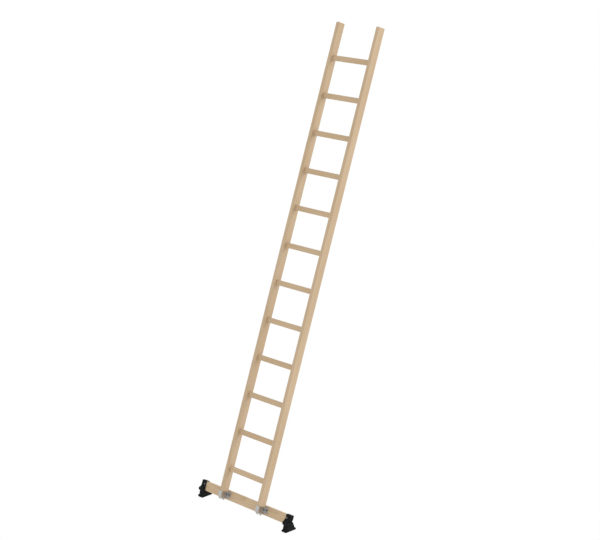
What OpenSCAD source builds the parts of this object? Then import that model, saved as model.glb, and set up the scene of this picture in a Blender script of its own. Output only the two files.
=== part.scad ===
// Wooden leaning rung ladder with a stabiliser traverse and two swivel feet.
// Millimetres. +Z is up, the floor is z = 0, X runs along the rungs and the
// ladder leans back towards +Y. The origin is the centre of the bottom of the
// bounding box.

/* [Ladder] */
// Angle between the stiles and the floor
lean_angle = 70; // [65:1:75]
// Number of rungs, each a node of its own
rung_count = 12;
// Distance between neighbouring rungs, along the stile
rung_pitch = 280; // [250:5:300]
// Height of the middle of the lowest rung above the floor
first_rung_height = 280; // [275:1:300]
// Width over the outer faces of the stiles
ladder_width = 425; // [380:5:480]
// Stile above the middle of the top rung
stile_head = 260; // [100:5:300]

/* [Wood sections] */
// Stile thickness, across the ladder
stile_t = 29; // [26:1:32]
// Stile depth, front to back
stile_d = 61; // [56:1:66]
// Edge radius of the stiles and of the traverse
edge_r = 2; // [1:0.5:4]
// Rung height, along the stile
rung_h = 38.5; // [34:0.5:42]
// Rung depth, front to back
rung_d = 24.5; // [20:0.5:30]
// Edge radius of the rungs
rung_r = 6; // [3:0.5:8]
// Length of the blind tenon at each rung end
tenon_len = 19; // [12:1:22]

/* [Traverse] */
// Length of the wooden traverse
traverse_len = 922; // [860:2:960]
// Height of the traverse, along the stile
traverse_h = 69; // [65:0.5:75]
// Thickness of the traverse
traverse_t = 26; // [24:1:34]
// From the middle of the lowest rung down to the top edge of the traverse
traverse_drop = 163.5; // [160:0.5:170]

/* [Stile brackets] */
// Thickness of the bracket's sheet steel
sheet_t = 3; // [2:0.5:4]
// Width of the bracket over both flanges
bracket_w = 90; // [84:1:100]
// Height of the legs and of the flanges
bracket_h = 47; // [40:1:50]
// Thread diameter of the bracket bolts
bolt_d = 6; // [5:1:6]
// Outside diameter of the sleeve nuts on the cross bolts
sleeve_d = 8; // [8:0.5:9]

/* [Feet] */
// Width of a shoe, along the traverse
shoe_w = 47; // [45:0.5:49]
// Skin of the shoe cap on the traverse
cap_skin = 2.5; // [2.5:0.5:3.5]
// Diameter of the pivot pin
pin_d = 8; // [6:1:9]
// Length of the rubber sole, front to back
sole_len = 101; // [98:0.5:106]
// Thickness of the rubber sole
sole_t = 6.5; // [5:0.5:8]
// How far a foot swings each way
swing = 10; // [5:1:10]

/* [Hidden] */
$fn = 48;

wood = "#C9AE89";
wood_rung = "#BEA786";
zinc = "#B7B7B5";
dark_steel = "#4B4B48";
black_plastic = "#232525";
rubber = "#1B1C1C";
screw_steel = "#6E7170";
black_steel = "#1F2020";

tilt = 90 - lean_angle;
gap = 0.1;                                   // glue or sliding gap round a fitted shape
stile_x = (ladder_width - stile_t) / 2;      // middle of a stile
inner_gap = ladder_width - 2 * stile_t;      // clear width between the stiles
stile_top = (rung_count - 1) * rung_pitch + stile_head;
tenon_in = 4.5;                              // shoulder of the rung all round its tenon

traverse_top = -traverse_drop;
traverse_bottom = traverse_top - traverse_h;
traverse_front = stile_d / 2 + sheet_t;      // the bracket's back plate lies behind the stile
traverse_back = traverse_front + traverse_t;

bracket_top = traverse_top - 9;
bracket_bottom = bracket_top - bracket_h;
tab_drop = 18;                               // how far the tab under each leg reaches down
tab_len = 11;                                // flat length at the bottom of that tab
tab_front = -stile_d / 2 + 24;
web_drop = 44.5;                             // height of the front web above its bottom edge
sheet_bend = 1.5;                            // inner radius of the bends into the flanges
bolt_z = bracket_top - 22;
cross_bolt_y = stile_d / 2 - 10.6;
flange_bolt_x = bracket_w / 2 - 9.5;
bolt_clear = 0.3;                            // added to a bolt's diameter for its hole
cross_head_d = 12;
flange_head_d = 10.5;
head_rim = 0.8;                              // straight rim of a bolt head, under its dome
head_dome = 2.4;
head_step = 0.2;                             // the dome starts this far in from the rim
socket_w = 4;                                // hexagon socket in a bolt head, across its flats
socket_depth = 2;
thread_len = 27;                             // shank of a cross bolt inside its sleeve nut
washer_d = 18;
washer_t = 1.6;
nut_w = 10;
nut_h = 5;
bolt_end = 3;                                // thread showing past a nut

shoe_in = traverse_len / 2 - 37;             // inner end of a shoe
shoe_out = shoe_in + shoe_w;                 // outer end of a shoe
wall_out = traverse_len / 2 + 5.5;           // outside of the wall that closes the cap
cap_front = traverse_front - cap_skin;
cap_back = traverse_back + cap_skin;
cap_top = traverse_top + 4;
cap_bottom = traverse_bottom - 4;
screw_x = shoe_in + 14;
screw_z = traverse_top - 22;
screw_d = 5;
screw_head_d = 11;
screw_head_h = 2.6;

barrel_r = 12;                               // hinge barrel on the front of the shoe
knuckle_r = 11;                              // the foot's own knuckle between the two lugs
pivot_y = traverse_front - 11.5;
pivot_z = traverse_bottom + 6;
lug_in = shoe_in + 11;                       // the inner lug runs from shoe_in to here
lug_out = shoe_in + 23;                      // the outer lug starts here
side_gap = 0.5;                              // between the knuckle and each lug
run_gap = 0.05;                              // radial clearance of the pin in the foot
cheek_in = wall_out + side_gap;              // inner face of the foot's outer cheek

// Height of the pivot above the floor, and its distance behind the origin of the ladder
pivot_up = first_rung_height - pivot_y * sin(tilt) + pivot_z * cos(tilt);
pivot_back = pivot_y * cos(tilt) + pivot_z * sin(tilt);

// Side outline of the foot, seen along X, measured from the pivot and the floor
base_t = 4.5;                                // moulded plate on top of the sole
sole_front = -21;
sole_back = sole_front + sole_len;
sole_in = shoe_in - 2.5;
sole_w = 49;
heel_low = [sole_back - 15, 21];
heel_high = [48.5, 64];
cheek_fall = atan2(pivot_up + barrel_r - heel_high[1], heel_high[0]);   // top edge of the cheek, in degrees
heel_cut = 51;                               // the heel is this high where the cap swings past
swing_r = 47;                                // the cap swings inside this radius
tread_gap = 3;                               // width of a groove in the sole
tread_depth = 2.5;

// The origin sits midway between the foremost and the rearmost point of the ladder
rear_y = stile_d / 2 * cos(tilt) + stile_top * sin(tilt);
front_y = -(stile_d / 2 + sheet_t) * cos(tilt) + (bracket_top - web_drop) * sin(tilt);
origin_y = (front_y + rear_y) / 2;

// ---- placing ----

// Ladder frame: origin in the middle of the lowest rung, Z along the stiles
module on_ladder() {
    translate([0, -origin_y, first_rung_height]) rotate([-tilt, 0, 0]) children();
}

// Foot frame: origin on the floor right under the pivot, level with the floor
module on_foot() {
    translate([0, pivot_back - origin_y, 0]) children();
}

// The right-hand copy is the drawn one, and the left-hand one is its mirror image
module sided(side) {
    if (side > 0) children();
    else mirror([1, 0, 0]) children();
}

// A side outline drawn in (Y, Z) becomes a solid from x = from to x = to
module side_extrude(from, to) {
    translate([from, 0, 0]) rotate([90, 0, 90]) linear_extrude(to - from) children();
}

module rounded_rect(w, h, r) {
    square([w - 2 * r, h], center = true);
    square([w, h - 2 * r], center = true);
    for (x = [-1, 1], y = [-1, 1])
        translate([x * (w / 2 - r), y * (h / 2 - r)]) circle(r);
}

module x_cylinder(r, from, to) {
    translate([from, 0, 0]) rotate([0, 90, 0]) cylinder(r = r, h = to - from);
}

module y_cylinder(r, from, to) {
    translate([0, from, 0]) rotate([-90, 0, 0]) cylinder(r = r, h = to - from);
}

// ---- wood ----

module tenon_outline(grow) {
    rounded_rect(rung_d - 2 * tenon_in + grow, rung_h - 2 * tenon_in + grow, 4);
}

module stile(side) {
    color(wood) on_ladder() sided(side) difference() {
        translate([stile_x, 0, bracket_bottom]) linear_extrude(stile_top - bracket_bottom)
            rounded_rect(stile_t, stile_d, edge_r);
        for (k = [0 : rung_count - 1])
            translate([0, 0, k * rung_pitch])
                side_extrude(inner_gap / 2 - 1, inner_gap / 2 + tenon_len + gap)
                    tenon_outline(2 * gap);
        translate([0, cross_bolt_y, bolt_z])
            x_cylinder((sleeve_d + bolt_clear) / 2, inner_gap / 2 - 1, ladder_width / 2 + 1);
    }
}

module rung(k) {
    color(wood_rung) on_ladder() translate([0, 0, k * rung_pitch]) {
        side_extrude(-inner_gap / 2, inner_gap / 2) rounded_rect(rung_d, rung_h, rung_r);
        for (side = [-1, 1]) sided(side)
            side_extrude(inner_gap / 2, inner_gap / 2 + tenon_len) tenon_outline(0);
    }
}

module traverse() {
    color(wood_rung) on_ladder() difference() {
        translate([0, (traverse_front + traverse_back) / 2, (traverse_top + traverse_bottom) / 2])
            side_extrude(-traverse_len / 2, traverse_len / 2)
                rounded_rect(traverse_t, traverse_h, edge_r);
        for (x = flange_bolt_places())
            translate([x, 0, bolt_z])
                y_cylinder((bolt_d + bolt_clear) / 2, traverse_front - 1, traverse_back + 1);
    }
}

function flange_bolt_places() = [for (s = [-1, 1], e = [-1, 1]) s * stile_x + e * flange_bolt_x];

// ---- brackets ----

// Section of the bracket, seen along the stile: a front web, two legs, and a back plate
// whose two ends are the flanges
module bracket_section() {
    leg_x = stile_t / 2;
    back = traverse_front;
    bend = sheet_bend;
    difference() {
        union() {
            translate([-leg_x - sheet_t, -stile_d / 2 - sheet_t])
                square([stile_t + 2 * sheet_t, stile_d + sheet_t]);
            translate([-bracket_w / 2, back - sheet_t]) square([bracket_w, sheet_t]);
            for (s = [-1, 1])
                translate([s * (leg_x + sheet_t + bend / 2), back - sheet_t - bend / 2])
                    square(bend, center = true);
        }
        square([stile_t, stile_d], center = true);
        for (s = [-1, 1])
            translate([s * (leg_x + sheet_t + bend), back - sheet_t - bend]) circle(bend);
    }
}

// Outline of a leg, seen from the side, with the front corner cut and the tab below
module leg_outline() {
    front = -stile_d / 2 - sheet_t;
    polygon([
        [front, bracket_top],
        [traverse_front, bracket_top],
        [traverse_front, bracket_bottom],
        [tab_front + tab_len + 5, bracket_bottom],
        [tab_front + tab_len, bracket_bottom - tab_drop],
        [tab_front, bracket_bottom - tab_drop],
        [front, bracket_top - web_drop]
    ]);
}

module bracket(side) {
    color(zinc) on_ladder() sided(side) difference() {
        intersection() {
            translate([stile_x, 0, bracket_bottom - tab_drop])
                linear_extrude(bracket_h + tab_drop) bracket_section();
            side_extrude(stile_x - bracket_w / 2, stile_x + bracket_w / 2) leg_outline();
        }
        translate([0, cross_bolt_y, bolt_z])
            x_cylinder((sleeve_d + bolt_clear) / 2, stile_x - 30, stile_x + 30);
        for (e = [-1, 1])
            translate([stile_x + e * flange_bolt_x, 0, bolt_z])
                y_cylinder((bolt_d + bolt_clear) / 2, traverse_front - 10, traverse_front + 1);
    }
}

// Low domed head that stands out towards -X from a face at x = 0
module button_head(d) {
    foot_d = d - 2 * head_step;
    ball = (pow(foot_d / 2, 2) + pow(head_dome, 2)) / (2 * head_dome);
    rotate([0, -90, 0]) difference() {
        union() {
            cylinder(d = d, h = head_rim);
            intersection() {
                translate([0, 0, head_rim + head_dome - ball]) sphere(ball);
                cylinder(d = d, h = head_rim + head_dome);
            }
        }
        translate([0, 0, head_rim + head_dome - socket_depth])
            cylinder(d = socket_w / cos(30), h = socket_depth + 1, $fn = 6);
    }
}

module hex_nut() {
    rotate([0, 90, 0]) difference() {
        cylinder(d = nut_w / cos(30), h = nut_h, $fn = 6);
        translate([0, 0, -1]) cylinder(d = bolt_d + 2 * run_gap, h = nut_h + 2);
    }
}

// The cross bolt goes in from between the stiles, with its sleeve nut on the outside
module cross_bolt_frame(side) {
    on_ladder() sided(side)
        translate([stile_x - stile_t / 2 - sheet_t, cross_bolt_y, bolt_z]) children();
}

module cross_bolts() {
    color(dark_steel) for (side = [-1, 1]) cross_bolt_frame(side) {
        button_head(cross_head_d);
        x_cylinder(bolt_d / 2, -0.5, thread_len);
    }
}

// The sleeve lines the hole through the stile and takes the thread of the cross bolt
module cross_bolt_nuts() {
    grip = stile_t + 2 * sheet_t;
    color(dark_steel) for (side = [-1, 1]) cross_bolt_frame(side) difference() {
        union() {
            x_cylinder(sleeve_d / 2, 1, grip + 0.5);
            translate([grip, 0, 0]) mirror([1, 0, 0]) button_head(cross_head_d);
        }
        x_cylinder(bolt_d / 2 + run_gap, 0, thread_len + 1);
    }
}

module flange_bolt_frame(x) {
    on_ladder() translate([x, traverse_front - sheet_t, bolt_z]) rotate([0, 0, 90]) children();
}

module flange_bolts() {
    color(dark_steel) for (x = flange_bolt_places())
        flange_bolt_frame(x) {
            button_head(flange_head_d);
            x_cylinder(bolt_d / 2, -0.5, sheet_t + traverse_t + washer_t + nut_h + bolt_end);
        }
}

module flange_washers() {
    color(zinc) for (x = flange_bolt_places())
        flange_bolt_frame(x) translate([sheet_t + traverse_t, 0, 0]) rotate([0, 90, 0]) difference() {
            cylinder(d = washer_d, h = washer_t);
            translate([0, 0, -1]) cylinder(d = bolt_d + bolt_clear, h = washer_t + 2);
        }
}

module flange_nuts() {
    color(zinc) for (x = flange_bolt_places())
        flange_bolt_frame(x) translate([sheet_t + traverse_t + washer_t, 0, 0]) hex_nut();
}

// ---- shoes ----

// Point where a line from the given point touches the barrel's front
function barrel_tangent(point, r) =
    let (d = point - [pivot_y, pivot_z], a = atan2(d[1], d[0]) + acos(r / norm(d)))
        [pivot_y + r * cos(a), pivot_z + r * sin(a)];

module cap_outline() {
    mid = [(cap_front + cap_back) / 2, (cap_top + cap_bottom) / 2];
    translate(mid) rounded_rect(cap_back - cap_front, cap_top - cap_bottom, 4);
}

module lug_outline() {
    translate([pivot_y, pivot_z]) circle(barrel_r);
    brow_outline();
}

// The slope that runs from the front of the cap down to the barrel
module brow_outline() {
    shoulder = [cap_front + 0.5, traverse_top - 28];
    polygon([
        shoulder,
        barrel_tangent(shoulder, barrel_r),
        [pivot_y, pivot_z],
        [cap_front + 6, cap_bottom + 4],
        [cap_front + 6, shoulder[1]]
    ]);
}

// Everything of the cap that lies in the path of the foot's outer cheek
module cheek_path() {
    rise = swing + tilt - cheek_fall + 0.5;
    translate([pivot_y, pivot_z]) rotate(rise) translate([-40, -80]) square([140, 80 + barrel_r + 1]);
}

module shoe_cap(side) {
    color(black_plastic) on_ladder() sided(side) difference() {
        union() {
            side_extrude(shoe_in, shoe_out) cap_outline();
            side_extrude(shoe_in, lug_in) lug_outline();
            side_extrude(lug_in, lug_out) brow_outline();
            side_extrude(lug_out, wall_out) lug_outline();
        }
        translate([0, (traverse_front + traverse_back) / 2, (traverse_top + traverse_bottom) / 2])
            side_extrude(shoe_in - 1, traverse_len / 2)
                rounded_rect(traverse_t, traverse_h, edge_r);
        side_extrude(wall_out, shoe_out + 1) cheek_path();
        translate([0, pivot_y, pivot_z]) {
            x_cylinder(barrel_r + 0.6, lug_in, lug_out);
            x_cylinder(pin_d / 2, shoe_in - 1, shoe_out);
        }
        translate([screw_x, 0, screw_z]) y_cylinder(screw_d / 2, cap_front - 1, traverse_front + 1);
    }
}

// Pan-head screws that hold the caps on the traverse; the thread stops in the cap's skin
module cap_screws() {
    color(screw_steel) for (side = [-1, 1]) on_ladder() sided(side) translate([screw_x, 0, screw_z])
        difference() {
            union() {
                y_cylinder(screw_head_d / 2, cap_front - screw_head_h, cap_front);
                y_cylinder(screw_d / 2, cap_front - 0.5, traverse_front);
            }
            translate([0, cap_front - screw_head_h, 0]) for (a = [0, 90]) rotate([0, a, 0])
                cube([6, 2.4, 1.2], center = true);
        }
}

module pivot_pin(side) {
    color(black_steel) on_ladder() sided(side) translate([0, pivot_y, pivot_z])
        x_cylinder(pin_d / 2, shoe_in, shoe_out - 0.5);
}

// Side outline of the foot without its barrel
module foot_outline() {
    plate_top = sole_t + base_t;
    polygon([
        [sole_front + 1, sole_t],
        [sole_back - 1, sole_t],
        [sole_back - 3, plate_top + 1],
        heel_low,
        heel_high,
        [0, pivot_up + barrel_r],
        [-barrel_r * 0.7, pivot_up - barrel_r * 0.7],
        [0, pivot_up - 20],
        [-5, plate_top + 6],
        [-11, plate_top + 1],
        [sole_front + 2, plate_top - 1]
    ]);
    translate([0, pivot_up]) circle(barrel_r);
}

// Room for the cap: what it sweeps through between the two ends of the swing
module cap_sweep() {
    below = pivot_z - cap_bottom + 0.6;
    intersection() {
        translate([0, pivot_up]) circle(swing_r);
        translate([0, pivot_up]) rotate(-tilt - swing) translate([-100, -below]) square([200, 200]);
    }
}

module swivel_foot(side) {
    color(black_plastic) on_foot() sided(side) difference() {
        union() {
            difference() {
                side_extrude(shoe_in, shoe_out) foot_outline();
                side_extrude(shoe_in - 1, cheek_in) {
                    cap_sweep();
                    translate([30, heel_cut]) square([80, 80]);
                    translate([0, pivot_up]) circle(barrel_r + 0.6);
                }
            }
            translate([0, 0, pivot_up]) x_cylinder(knuckle_r, lug_in + side_gap, lug_out - side_gap);
            side_extrude(lug_in + side_gap, lug_out - side_gap)
                polygon([[-7, pivot_up - 4], [1.5, pivot_up - 4], [1.5, pivot_up - 16], [0, pivot_up - 18]]);
        }
        translate([0, 0, pivot_up]) x_cylinder(pin_d / 2 + run_gap, shoe_in - 1, shoe_out + 1);
    }
}

module sole(side) {
    middle = sole_in + sole_w / 2;
    color(rubber) on_foot() sided(side) difference() {
        translate([middle, (sole_front + sole_back) / 2, 0]) linear_extrude(sole_t)
            rounded_rect(sole_w, sole_len, 6);
        for (y = [sole_front + 11.5 : 10 : sole_back - 10])
            translate([middle - sole_w, y, -1]) cube([2 * sole_w, tread_gap, tread_depth + 1]);
    }
}

stile(-1);  // stile_left
stile(1);  // stile_right
rung(0);  // rung_01
rung(1);  // rung_02
rung(2);  // rung_03
rung(3);  // rung_04
rung(4);  // rung_05
rung(5);  // rung_06
rung(6);  // rung_07
rung(7);  // rung_08
rung(8);  // rung_09
rung(9);  // rung_10
rung(10);  // rung_11
rung(11);  // rung_12
traverse();
bracket(-1);  // bracket_left
bracket(1);  // bracket_right
cross_bolts();
cross_bolt_nuts();
flange_bolts();
flange_washers();
flange_nuts();
shoe_cap(-1);  // shoe_cap_left
shoe_cap(1);  // shoe_cap_right
cap_screws();
pivot_pin(-1);  // pivot_pin_left
pivot_pin(1);  // pivot_pin_right
swivel_foot(-1);  // swivel_foot_left
swivel_foot(1);  // swivel_foot_right
sole(-1);  // sole_left
sole(1);  // sole_right
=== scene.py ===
"""Wooden leaning ladder with a stabiliser traverse and two swivel feet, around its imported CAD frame."""

import math

import bpy
from mathutils import Matrix, Vector


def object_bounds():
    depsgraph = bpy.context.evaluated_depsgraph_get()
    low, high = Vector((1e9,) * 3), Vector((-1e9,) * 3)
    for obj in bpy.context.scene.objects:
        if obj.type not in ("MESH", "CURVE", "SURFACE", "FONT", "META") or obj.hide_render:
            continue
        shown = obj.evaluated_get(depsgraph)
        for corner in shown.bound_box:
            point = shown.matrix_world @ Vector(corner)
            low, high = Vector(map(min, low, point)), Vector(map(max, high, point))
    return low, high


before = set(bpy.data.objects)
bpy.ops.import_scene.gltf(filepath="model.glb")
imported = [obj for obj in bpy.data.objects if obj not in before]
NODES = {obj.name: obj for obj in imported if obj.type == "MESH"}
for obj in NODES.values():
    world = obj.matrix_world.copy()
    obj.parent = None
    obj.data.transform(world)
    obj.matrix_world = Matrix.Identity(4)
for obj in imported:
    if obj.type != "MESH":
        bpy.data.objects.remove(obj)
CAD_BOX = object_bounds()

TILT = math.radians(20)          # the stiles lean this far from the vertical
BLACK = (0, 0, 0, 1)
WHITE = (1, 1, 1, 1)
SIDES = ("left", "right")


# ---------------------------------------------------------------- node helpers


class Graph:
    """Builds one material's node tree with short calls."""

    def __init__(self, name):
        self.material = bpy.data.materials.new(name)
        self.material.use_nodes = True
        self.tree = self.material.node_tree
        self.tree.nodes.clear()
        output = self.tree.nodes.new("ShaderNodeOutputMaterial")
        self.shader = self.tree.nodes.new("ShaderNodeBsdfPrincipled")
        self.link(self.shader.outputs[0], output.inputs[0])

    def node(self, kind, **settings):
        made = self.tree.nodes.new("ShaderNode" + kind)
        for key, value in settings.items():
            setattr(made, key, value)
        return made

    def link(self, source, target):
        self.tree.links.new(source, target)

    def feed(self, value, socket):
        """Links an output to the socket, or sets the socket to a plain value."""
        if isinstance(value, bpy.types.NodeSocket):
            self.link(value, socket)
        else:
            socket.default_value = value

    def math(self, operation, a, b=0.0, c=0.0):
        made = self.node("Math", operation=operation)
        for value, socket in zip((a, b, c), made.inputs):
            self.feed(value, socket)
        return made.outputs[0]

    def scale(self, point, factors):
        made = self.node("VectorMath", operation="MULTIPLY")
        self.link(point, made.inputs[0])
        made.inputs[1].default_value = factors
        return made.outputs[0]

    def noise(self, point, scale, detail, roughness=0.5):
        made = self.node("TexNoise")
        self.link(point, made.inputs["Vector"])
        made.inputs["Scale"].default_value = scale
        made.inputs["Detail"].default_value = detail
        made.inputs["Roughness"].default_value = roughness
        return made.outputs[0]

    def long_noise(self, point, across, along, detail, roughness=0.5):
        """Noise drawn out along Z: across and along are its scales per metre."""
        return self.noise(self.scale(point, (across, across, along)), 1.0, detail, roughness)

    def remap(self, value, low, high, to_low, to_high):
        """Carries low..high to to_low..to_high, smoothly and no further."""
        made = self.node("MapRange", interpolation_type="SMOOTHSTEP")
        for item, socket in zip((value, low, high, to_low, to_high), made.inputs):
            self.feed(item, socket)
        return made.outputs[0]

    def mix(self, factor, a, b):
        """Blends from colour a to colour b."""
        made = self.node("Mix", data_type="RGBA")
        self.feed(factor, made.inputs[0])
        self.feed(a, made.inputs[6])
        self.feed(b, made.inputs[7])
        return made.outputs[2]

    def bump(self, height, distance, strength):
        """Relief on the surface; distance is its depth in metres."""
        made = self.node("Bump")
        made.inputs["Strength"].default_value = strength
        made.inputs["Distance"].default_value = distance
        self.feed(height, made.inputs["Height"])
        self.link(made.outputs[0], self.shader.inputs["Normal"])

    def object_space(self):
        return self.node("TexCoord").outputs["Object"]

    def facing(self, direction):
        """How squarely a face looks along the direction, either way: 0 to 1."""
        dot = self.node("VectorMath", operation="DOT_PRODUCT")
        self.link(self.node("TexCoord").outputs["Normal"], dot.inputs[0])
        dot.inputs[1].default_value = direction
        return self.math("ABSOLUTE", dot.outputs["Value"])

    def distance_from_z(self, point):
        """How far the point lies from the Z axis."""
        length = self.node("VectorMath", operation="LENGTH")
        self.link(self.scale(point, (1, 1, 0)), length.inputs[0])
        return length.outputs["Value"]

    def voronoi(self, point, scale, feature):
        made = self.node("TexVoronoi", feature=feature)
        made.inputs["Scale"].default_value = scale
        self.link(point, made.inputs["Vector"])
        return made

    def turned(self, point, rotation, location=(0, 0, 0)):
        """The point turned about the origin, then moved."""
        made = self.node("Mapping")
        made.inputs["Rotation"].default_value = rotation
        made.inputs["Location"].default_value = location
        self.link(point, made.inputs["Vector"])
        return made.outputs[0]

    def set(self, **values):
        """Feeds sockets of the shader; underscores stand for spaces."""
        for key, value in values.items():
            self.feed(value, self.shader.inputs[key.replace("_", " ")])


def srgb(r, g, b):
    """A colour given in the usual 0 to 255 display values, as linear values."""
    def linear(v):
        v /= 255
        return v / 12.92 if v <= 0.04045 else ((v + 0.055) / 1.055) ** 2.4
    return (linear(r), linear(g), linear(b), 1.0)


# ---------------------------------------------------------------- wood


PORE_COLOUR = srgb(140, 108, 76)
END_GRAIN_COLOUR = srgb(158, 124, 88)
RING_WIDTH = 0.0042              # metres between growth rings
RING_DRIFT = 0.034               # how far the rings wander along a board, in metres
RING_WAVE = 0.0035               # and how far they waver close up
WOOD_ROUGHNESS = (0.5, 0.62)
WOOD_SPECULAR = 0.3
WOOD_RELIEF = 0.00012            # depth of fibres and pores, in metres


def grain_origin(seed):
    """Where a board is cut from its tree: the pith lies outside it, and no two boards are alike."""
    return (0.071 + 0.013 * (seed % 5), 0.093 + 0.017 * (seed % 3), 1.7 * seed)


def wood_material(name, light, dark, along, seed, slope):
    """Planed, clear-oiled wood as a solid texture, so that faces and end grain agree.

    along is "stile" where the grain runs up the ladder, and "rung" where it runs along X.
    slope is how far the grain runs off the board's own length, in radians.
    """
    g = Graph(name)
    upright = g.turned(g.object_space(), (TILT, 0, 0))
    if along == "stile":
        turn = slope
        end_normal = (0, math.sin(TILT), math.cos(TILT))
    else:
        turn = math.radians(90) + slope
        end_normal = (1, 0, 0)
    p = g.turned(upright, (slope * 0.4, turn, 0), grain_origin(seed))     # Z now runs along the grain

    # growth rings round the pith
    drift = g.noise(g.scale(p, (3.0, 3.0, 0.5)), 2.2, 2.0)
    wave = g.long_noise(p, 30, 2.2, 3.0, 0.55)
    radius = g.distance_from_z(p)
    radius = g.math("MULTIPLY_ADD", drift, RING_DRIFT, radius)
    radius = g.math("MULTIPLY_ADD", wave, RING_WAVE, radius)
    ring = g.math("FRACT", g.math("MULTIPLY", radius, 1 / RING_WIDTH))
    late = g.math("MULTIPLY", g.remap(ring, 0.35, 0.9, 0, 1), g.remap(ring, 0.9, 1.0, 1, 0))

    # long fibres, tiny pores and a slow change of tone along the board
    fibre = g.long_noise(p, 900, 14, 4.0, 0.6)
    streak = g.long_noise(p, 95, 1.6, 3.0, 0.55)
    tone = g.long_noise(p, 9, 1.3, 2.0)
    pore = g.remap(g.long_noise(p, 1900, 55, 1.0), 0.66, 0.76, 0, 1)

    amount = g.math("MULTIPLY", late, g.remap(streak, 0.3, 0.7, 0.25, 0.6))
    amount = g.math("ADD", g.remap(fibre, 0.3, 0.7, -0.12, 0.12), amount)
    amount = g.math("ADD", g.remap(tone, 0.3, 0.7, -0.2, 0.2), amount)
    amount = g.math("ADD", amount, 0.12)
    colour = g.mix(amount, light, dark)
    colour = g.mix(g.math("MULTIPLY", pore, 0.25), colour, PORE_COLOUR)

    # a cut end drinks more oil and is darker
    end = g.remap(g.facing(end_normal), 0.75, 0.95, 0, 1)
    colour = g.mix(g.math("MULTIPLY", end, 0.55), colour, END_GRAIN_COLOUR)

    g.set(Base_Color=colour)
    g.set(Roughness=g.remap(fibre, 0.25, 0.75, *WOOD_ROUGHNESS), Specular_IOR_Level=WOOD_SPECULAR)
    height = g.math("MULTIPLY_ADD", fibre, 0.5, g.math("MULTIPLY", late, -0.35))
    g.bump(g.math("MULTIPLY_ADD", pore, -0.6, height), WOOD_RELIEF, 0.8)
    return g.material


# ---------------------------------------------------------------- metal, plastic, rubber


ZINC_LOW = srgb(181, 179, 178)
ZINC_HIGH = srgb(194, 191, 188)
ZINC_ROUGHNESS = (0.18, 0.26)    # of the faces that look along X
ZINC_DULLER = 0.22               # added on faces that look along Y or Z
ZINC_SPANGLE_SCALE = 210.0
ZINC_RELIEF = 0.00004            # metres, as are the other reliefs
STEEL_RELIEF = 0.00003
PLASTIC_SPECULAR = 0.1
PLASTIC_RELIEF = 0.00012


def zinc_material():
    """Galvanised sheet with a soft spangle; faces that look along X, the legs, are glossier than the rest."""
    g = Graph("bracket_zinc")
    p = g.object_space()
    spangle = g.node("SeparateColor")
    g.link(g.voronoi(p, ZINC_SPANGLE_SCALE, "F1").outputs["Color"], spangle.inputs[0])
    cloud = g.noise(p, 60.0, 3.0)
    scratch = g.noise(g.scale(p, (60, 900, 900)), 1.0, 2.0)     # drawn out along X
    tone = g.math("MULTIPLY_ADD", spangle.outputs[0], 0.5, g.math("MULTIPLY", cloud, 0.5))
    g.set(Base_Color=g.mix(g.remap(tone, 0.2, 0.8, 0, 1), ZINC_LOW, ZINC_HIGH), Metallic=1.0)
    duller = g.remap(g.facing((1, 0, 0)), 0.3, 0.7, ZINC_DULLER, 0.0)
    rough = g.math("ADD", duller, g.remap(tone, 0.2, 0.8, *ZINC_ROUGHNESS))
    g.set(Roughness=g.math("MULTIPLY_ADD", scratch, 0.08, rough))
    g.bump(g.math("MULTIPLY_ADD", scratch, 0.3, tone), ZINC_RELIEF, 0.5)
    return g.material


def steel_material(name, low, high, roughness):
    """Plated fasteners: a little mottled, with a fine uneven finish."""
    g = Graph(name)
    p = g.object_space()
    cloud = g.noise(p, 220.0, 3.0)
    fine = g.noise(p, 1500.0, 2.0)
    g.set(Base_Color=g.mix(g.remap(cloud, 0.3, 0.7, 0, 1), low, high), Metallic=1.0)
    g.set(Roughness=g.math("MULTIPLY_ADD", fine, 0.12, roughness))
    g.bump(fine, STEEL_RELIEF, 0.5)
    return g.material


def plastic_material(name, low, high, roughness, grain):
    """Moulded plastic or rubber: a fine eroded grain, with a slightly dusty tone."""
    g = Graph(name)
    p = g.object_space()
    cells = g.voronoi(p, grain, "SMOOTH_F1")
    cloud = g.noise(p, 38.0, 4.0)
    fine = g.noise(p, grain * 1.7, 3.0)
    g.set(Base_Color=g.mix(g.remap(cloud, 0.3, 0.75, 0, 1), low, high))
    g.set(Roughness=g.math("MULTIPLY_ADD", cloud, 0.15, roughness))
    g.set(Specular_IOR_Level=PLASTIC_SPECULAR)
    g.bump(g.math("MULTIPLY_ADD", fine, 0.4, cells.outputs["Distance"]), PLASTIC_RELIEF, 0.6)
    return g.material


# ---------------------------------------------------------------- dressing the CAD nodes


def dress(node, material):
    """Gives a CAD node its material."""
    mesh = NODES[node].data
    mesh.materials.clear()
    mesh.materials.append(material)


def dress_all(nodes, material):
    """Gives several CAD nodes one material."""
    for node in nodes:
        dress(node, material)


PALE_STILE = srgb(194, 171, 141)
DEEP_STILE = srgb(176, 148, 114)
PALE_RUNG = srgb(195, 171, 139)
DEEP_RUNG = srgb(177, 149, 114)
PALE_TRAVERSE = srgb(199, 175, 144)
DEEP_TRAVERSE = srgb(181, 154, 119)

STILE_SLOPES = {"left": 0.012, "right": -0.010}      # radians, as are the other slopes
RUNG_SLOPE = 0.16
TRAVERSE_SLOPE = 0.02
TRAVERSE_SEED = 20

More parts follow.
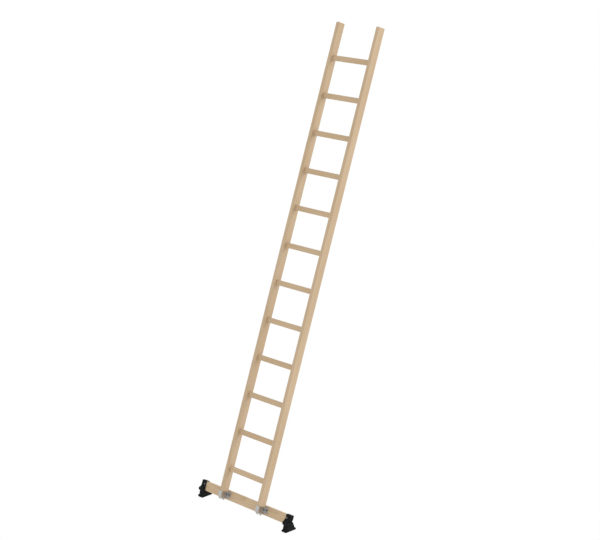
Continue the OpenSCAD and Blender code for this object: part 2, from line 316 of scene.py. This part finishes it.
for seed, (side, slope) in enumerate(STILE_SLOPES.items(), start=1):
    name = "stile_" + side
    dress(name, wood_material("wood_" + name, PALE_STILE, DEEP_STILE, "stile", seed, slope))
RUNGS = sorted(name for name in NODES if name.startswith("rung_"))
for seed, name in enumerate(RUNGS, start=3):
    dress(name, wood_material("wood_" + name, PALE_RUNG, DEEP_RUNG, "rung", seed, RUNG_SLOPE))
traverse_wood = wood_material(
    "wood_traverse", PALE_TRAVERSE, DEEP_TRAVERSE, "rung", TRAVERSE_SEED, TRAVERSE_SLOPE
)
dress("traverse", traverse_wood)

zinc = zinc_material()
dark = steel_material("dark_bolts", srgb(94, 94, 91), srgb(114, 114, 110), roughness=0.38)
black = steel_material("black_pins", srgb(26, 27, 27), srgb(34, 35, 35), roughness=0.42)
plain = steel_material("screw_steel", srgb(120, 122, 122), srgb(146, 147, 146), roughness=0.28)
plastic = plastic_material("shoe_plastic", srgb(13, 15, 15), srgb(19, 21, 21), roughness=0.5, grain=900.0)
rubber = plastic_material("sole_rubber", srgb(18, 19, 19), srgb(25, 26, 26), roughness=0.72, grain=1400.0)

dress_all(("flange_washers", "flange_nuts"), zinc)
dress_all(("cross_bolts", "cross_bolt_nuts", "flange_bolts"), dark)
dress("cap_screws", plain)
for side in SIDES:
    dress("bracket_" + side, zinc)
    dress("pivot_pin_" + side, black)
    dress_all(("shoe_cap_" + side, "swivel_foot_" + side), plastic)
    dress("sole_" + side, rubber)


# ---------------------------------------------------------------- floor, light, camera


FLOOR_SIZE = 160.0
FLOOR_GAP = 0.0005               # the floor lies this far below the soles


def make_floor():
    """A plain, flat, glowing white floor that shows no shadow."""
    bpy.ops.mesh.primitive_plane_add(size=FLOOR_SIZE)
    floor = bpy.context.object
    floor.name = "floor"
    g = Graph("floor_white")
    g.set(Base_Color=BLACK, Roughness=0.9, Specular_IOR_Level=0.0)
    g.set(Emission_Color=WHITE, Emission_Strength=1.0)
    floor.data.materials.append(g.material)
    floor.location.z = -FLOOR_GAP


def make_world():
    """Even white light from all round."""
    world = bpy.data.worlds.new("studio")
    world.use_nodes = True
    background = world.node_tree.nodes["Background"]
    background.inputs["Color"].default_value = WHITE
    background.inputs["Strength"].default_value = 1.0
    bpy.context.scene.world = world


KEY_PLACE = Vector((9, 4, 5))
KEY_TARGET = Vector((0, 0, 1.6))
KEY_SIZE = 5.0                   # metres across
KEY_POWER = 262.0                # watts


def make_key_light():
    """A soft disk lamp on the +X side, which lights that side of each stile more than its front."""
    data = bpy.data.lights.new("key", "AREA")
    data.shape = "DISK"
    data.size = KEY_SIZE
    data.energy = KEY_POWER
    light = bpy.data.objects.new("key", data)
    bpy.context.collection.objects.link(light)
    light.location = KEY_PLACE
    light.rotation_euler = (KEY_TARGET - KEY_PLACE).to_track_quat("-Z", "Y").to_euler()


CAMERA_AZIMUTH = math.radians(45.65)
CAMERA_ELEVATION = math.radians(15.43)
CAMERA_ROLL = math.radians(-0.156)
CAMERA_DISTANCE = 12.377         # metres
CAMERA_LENS = 103.0              # millimetres
CAMERA_SENSOR = 36.0             # millimetres wide
CAMERA_REACH = 200.0             # nothing further away than this is drawn, in metres
CAMERA_AIM = Vector((-0.0036, -0.0004, -0.0014))   # from the middle of the ladder, in metres


def make_camera():
    """Looks at the ladder from its front right, a little from above."""
    low, high = CAD_BOX
    aim = (Vector(low) + Vector(high)) / 2 + CAMERA_AIM
    back = Vector((
        math.sin(CAMERA_AZIMUTH) * math.cos(CAMERA_ELEVATION),
        -math.cos(CAMERA_AZIMUTH) * math.cos(CAMERA_ELEVATION),
        math.sin(CAMERA_ELEVATION),
    ))
    data = bpy.data.cameras.new("camera")
    data.lens = CAMERA_LENS
    data.sensor_width = CAMERA_SENSOR
    data.clip_end = CAMERA_REACH
    camera = bpy.data.objects.new("camera", data)
    bpy.context.collection.objects.link(camera)
    camera.rotation_mode = "QUATERNION"
    camera.location = aim + back * CAMERA_DISTANCE
    turn = (-back).to_track_quat("-Z", "Y")
    roll = Matrix.Rotation(CAMERA_ROLL, 3, "Z").to_quaternion()
    camera.rotation_quaternion = turn @ roll
    bpy.context.scene.camera = camera


make_floor()
make_world()
make_key_light()
make_camera()
bpy.context.scene.view_settings.view_transform = "Standard"
